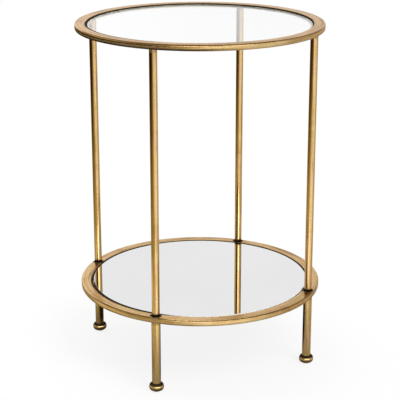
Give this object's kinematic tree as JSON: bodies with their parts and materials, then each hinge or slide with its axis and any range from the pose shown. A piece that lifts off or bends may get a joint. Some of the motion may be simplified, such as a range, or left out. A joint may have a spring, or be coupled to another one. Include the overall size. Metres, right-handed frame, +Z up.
{
  "type": "tiered side table",
  "caption": "Round side table: a clear glass top and a mirrored lower shelf in slim antique-gold rings, on slender tubular legs with bun feet.",
  "frame": {"origin": "on the floor under the centre of the table, at the underside of the glides", "axes": "+Z up; the legs stand on -Y (front), +X (right), +Y (back) and -X (left)"},
  "size_m": [0.425, 0.425, 0.59],
  "materials": {
    "antique_gold": "satin antique-gold leaf finish over steel, brushed, darker in the crevices",
    "polished_gold": "turned and polished, lacquered antique gold",
    "clear_glass": "clear toughened glass with ground and polished edge",
    "mirror": "silvered mirror with grey backing paint",
    "clear_dot": "clear soft bumper dots",
    "bare_steel": "zinc-plated steel",
    "glide_rubber": "matt black rubber"
  },
  "bodies": {
    "frame": {"top_ring": "antique_gold", "top_glass_ledge": "antique_gold", "top_glass_dots": "clear_dot", "shelf_ring": "antique_gold", "shelf_mirror_ledge": "antique_gold", "shelf_mirror_dots": "clear_dot", "upper_leg_top_plugs": "antique_gold", "upper_leg_bottom_plugs": "antique_gold", "lower_leg_top_plugs": "antique_gold", "lower_leg_bottom_plugs": "bare_steel", "top_ring_nuts": "bare_steel", "shelf_ring_sleeves": "bare_steel", "top_ring_studs": "bare_steel", "shelf_ring_studs": "bare_steel", "foot_studs": "bare_steel", "upper_leg_front": "antique_gold", "lower_leg_front": "antique_gold", "upper_leg_right": "antique_gold", "lower_leg_right": "antique_gold", "upper_leg_back": "antique_gold", "lower_leg_back": "antique_gold", "upper_leg_left": "antique_gold", "lower_leg_left": "antique_gold", "bun_feet": "polished_gold", "foot_glides": "glide_rubber"},
    "glass": {"top_glass": "clear_glass"},
    "mirror": {"shelf_mirror": "mirror"}
  },
  "joints": [
    {"name": "glass_lift", "type": "slide", "parent": "frame", "child": "glass", "axis": [0, 0, 1], "range_m": [0, 0.1]},
    {"name": "mirror_lift", "type": "slide", "parent": "frame", "child": "mirror", "axis": [0, 0, 1], "range_m": [0, 0.1]}
  ]
}
